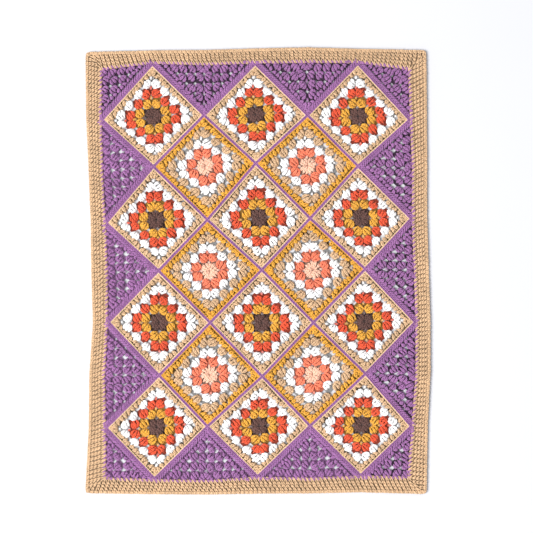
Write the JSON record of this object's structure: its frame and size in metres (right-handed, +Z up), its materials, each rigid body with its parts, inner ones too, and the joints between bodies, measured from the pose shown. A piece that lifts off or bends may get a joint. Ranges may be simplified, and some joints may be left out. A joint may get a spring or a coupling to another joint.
{
  "type": "crochet blanket",
  "caption": "Small crocheted lap blanket lying flat: granny squares set on point in rounds of mixed yarns, joined and filled in with purple, with a plain tan border.",
  "frame": {"origin": "on the surface that the blanket lies on, under the middle of its box", "axes": "+Z up out of the blanket's face, +Y along its long side towards the top edge of the layout, +X across it to the right"},
  "size_m": [0.6276, 0.8134, 0.0056],
  "materials": {
    "square_yarns": "matt wool yarn",
    "purple_yarn": "matt wool yarn",
    "tan_yarn": "matt wool yarn"
  },
  "bodies": {
    "root": {"dark_centre_square_1_1": "square_yarns", "dark_centre_square_1_2": "square_yarns", "dark_centre_square_1_3": "square_yarns", "dark_centre_square_2_1": "square_yarns", "dark_centre_square_2_2": "square_yarns", "dark_centre_square_2_3": "square_yarns", "dark_centre_square_3_1": "square_yarns", "dark_centre_square_3_2": "square_yarns", "dark_centre_square_3_3": "square_yarns", "dark_centre_square_4_1": "square_yarns", "dark_centre_square_4_2": "square_yarns", "dark_centre_square_4_3": "square_yarns", "light_centre_square_1_1": "square_yarns", "light_centre_square_1_2": "square_yarns", "light_centre_square_2_1": "square_yarns", "light_centre_square_2_2": "square_yarns", "light_centre_square_3_1": "square_yarns", "light_centre_square_3_2": "square_yarns", "half_square_top_1": "purple_yarn", "half_square_top_2": "purple_yarn", "half_square_bottom_1": "purple_yarn", "half_square_bottom_2": "purple_yarn", "half_square_left_1": "purple_yarn", "half_square_left_2": "purple_yarn", "half_square_left_3": "purple_yarn", "half_square_right_1": "purple_yarn", "half_square_right_2": "purple_yarn", "half_square_right_3": "purple_yarn", "quarter_square_top_left": "purple_yarn", "quarter_square_top_right": "purple_yarn", "quarter_square_bottom_left": "purple_yarn", "quarter_square_bottom_right": "purple_yarn", "joining_seams": "purple_yarn", "border": "tan_yarn"}
  },
  "joints": []
}
